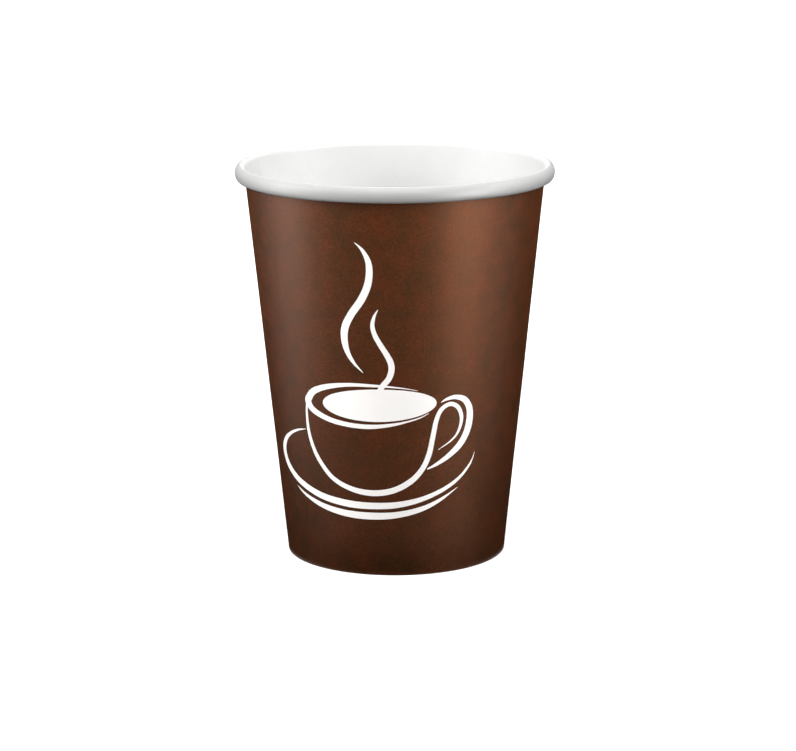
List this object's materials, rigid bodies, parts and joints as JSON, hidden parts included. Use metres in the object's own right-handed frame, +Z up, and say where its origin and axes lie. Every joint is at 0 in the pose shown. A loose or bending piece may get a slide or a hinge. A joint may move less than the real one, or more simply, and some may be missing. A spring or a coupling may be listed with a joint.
{
  "type": "paper coffee cup",
  "caption": "Tapered single-wall paper hot cup with a rolled rim, a lapped side seam and a recessed bottom, printed outside and white inside.",
  "frame": {"origin": "centre of the foot ring, on the table", "axes": "+Z up along the cup's axis, -Y towards the printed front, -X towards the side seam"},
  "size_m": [0.0895, 0.0894, 0.111],
  "materials": {
    "printed_board": "satin",
    "white_board": "satin"
  },
  "bodies": {
    "root": {"side_wall": "printed_board", "bottom_disc": "white_board"}
  },
  "joints": []
}
